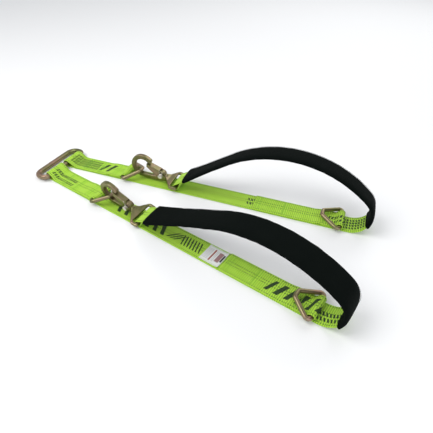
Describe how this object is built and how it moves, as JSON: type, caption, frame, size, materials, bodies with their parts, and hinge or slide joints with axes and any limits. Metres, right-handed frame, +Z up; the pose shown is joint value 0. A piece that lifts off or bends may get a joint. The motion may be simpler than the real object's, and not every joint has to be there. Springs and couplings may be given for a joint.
{
  "type": "webbing bridle with padded loops",
  "caption": "V-shaped webbing bridle: flat straps on a shared steel ring, each leg with delta rings and a padded return loop ending in a snap hook.",
  "frame": {"origin": "middle of the whole part's box in plan, on the surface that the straps lie on", "axes": "+X from the shared ring to the far ends of the legs, +Y towards the left leg, +Z up"},
  "size_m": [0.8172, 0.3318, 0.1455],
  "materials": {
    "plated_steel": "yellow zinc plating on forged and bent steel, satin with a faint pink and green cast",
    "plated_sheet": "yellow zinc plating on pressed sheet, satin",
    "bright_steel": "bright drawn wire and rivet steel",
    "webbing": "woven polyester webbing, high-visibility yellow-green",
    "sleeve_fabric": "black woven nylon wear sleeve",
    "thread": "heavy sewing thread",
    "label_cloth": null
  },
  "bodies": {
    "shared_ring": {"apex_ring": "plated_steel"},
    "left_leg": {"left_main_strap": "webbing", "left_far_tab": "webbing", "left_sleeve": "sleeve_fabric", "left_seams": "thread"},
    "left_near_ring_body": {"left_near_ring": "plated_steel"},
    "left_hook": {"left_hook_body": "plated_steel", "left_gate_rivet": "bright_steel", "left_gate_spring": "bright_steel"},
    "left_gate": {"left_hook_gate": "plated_sheet"},
    "left_far_ring_body": {"left_far_ring": "plated_steel"},
    "right_leg": {"right_main_strap": "webbing", "right_far_tab": "webbing", "right_sleeve": "sleeve_fabric", "right_seams": "thread", "right_label": "label_cloth"},
    "right_near_ring_body": {"right_near_ring": "plated_steel"},
    "right_hook": {"right_hook_body": "plated_steel", "right_gate_rivet": "bright_steel", "right_gate_spring": "bright_steel"},
    "right_gate": {"right_hook_gate": "plated_sheet"},
    "right_far_ring_body": {"right_far_ring": "plated_steel"}
  },
  "joints": [
    {"name": "left_leg_swing", "type": "hinge", "parent": "shared_ring", "child": "left_leg", "pos_m": [-0.36523, 0.02778, 0.0101], "axis": [0, -1, 0], "range_deg": [0, 1.7]},
    {"name": "left_near_ring_lift", "type": "hinge", "parent": "left_leg", "child": "left_near_ring_body", "pos_m": [-0.20168, 0.04961, 0.0103], "axis": [0.1323, -0.9912, 0], "range_deg": [0, 14]},
    {"name": "left_hook_lift", "type": "hinge", "parent": "left_leg", "child": "left_hook", "pos_m": [-0.06218, 0.07024, 0.0125], "axis": [-0.1323, 0.9912, 0], "range_deg": [0, 1.7]},
    {"name": "left_gate_press", "type": "hinge", "parent": "left_hook", "child": "left_gate", "pos_m": [-0.1067, 0.0643, 0.02526], "axis": [0.1323, -0.9912, 0], "range_deg": [0, 25], "stiffness_Nm_per_rad": 0.15, "springref_deg": -20.05},
    {"name": "left_far_ring_flip", "type": "hinge", "parent": "left_leg", "child": "left_far_ring_body", "pos_m": [0.32168, 0.11944, 0.0103], "axis": [-0.1323, 0.9912, 0], "range_deg": [0, 1.7]},
    {"name": "right_leg_swing", "type": "hinge", "parent": "shared_ring", "child": "right_leg", "pos_m": [-0.36523, -0.03402, 0.0101], "axis": [0, -1, 0], "range_deg": [0, 1.7]},
    {"name": "right_near_ring_lift", "type": "hinge", "parent": "right_leg", "child": "right_near_ring_body", "pos_m": [-0.20168, -0.05584, 0.0103], "axis": [-0.1323, -0.9912, 0], "range_deg": [0, 14]},
    {"name": "right_hook_lift", "type": "hinge", "parent": "right_leg", "child": "right_hook", "pos_m": [-0.06182, -0.07373, 0.01238], "axis": [0.131, 0.9816, 0.1392], "range_deg": [0, 1.7]},
    {"name": "right_gate_press", "type": "hinge", "parent": "right_hook", "child": "right_gate", "pos_m": [-0.10657, -0.06955, 0.02502], "axis": [-0.131, -0.9816, -0.1392], "range_deg": [0, 25], "stiffness_Nm_per_rad": 0.15, "springref_deg": -20.05},
    {"name": "right_far_ring_flip", "type": "hinge", "parent": "right_leg", "child": "right_far_ring_body", "pos_m": [0.34547, -0.12884, 0.0103], "axis": [0.1323, 0.9912, 0], "range_deg": [0, 1.7]}
  ],
  "couplings": [
    {"joint": "left_hook_lift", "follows": "left_near_ring_lift", "ratio": 0.12},
    {"joint": "right_hook_lift", "follows": "right_near_ring_lift", "ratio": 0.12}
  ]
}
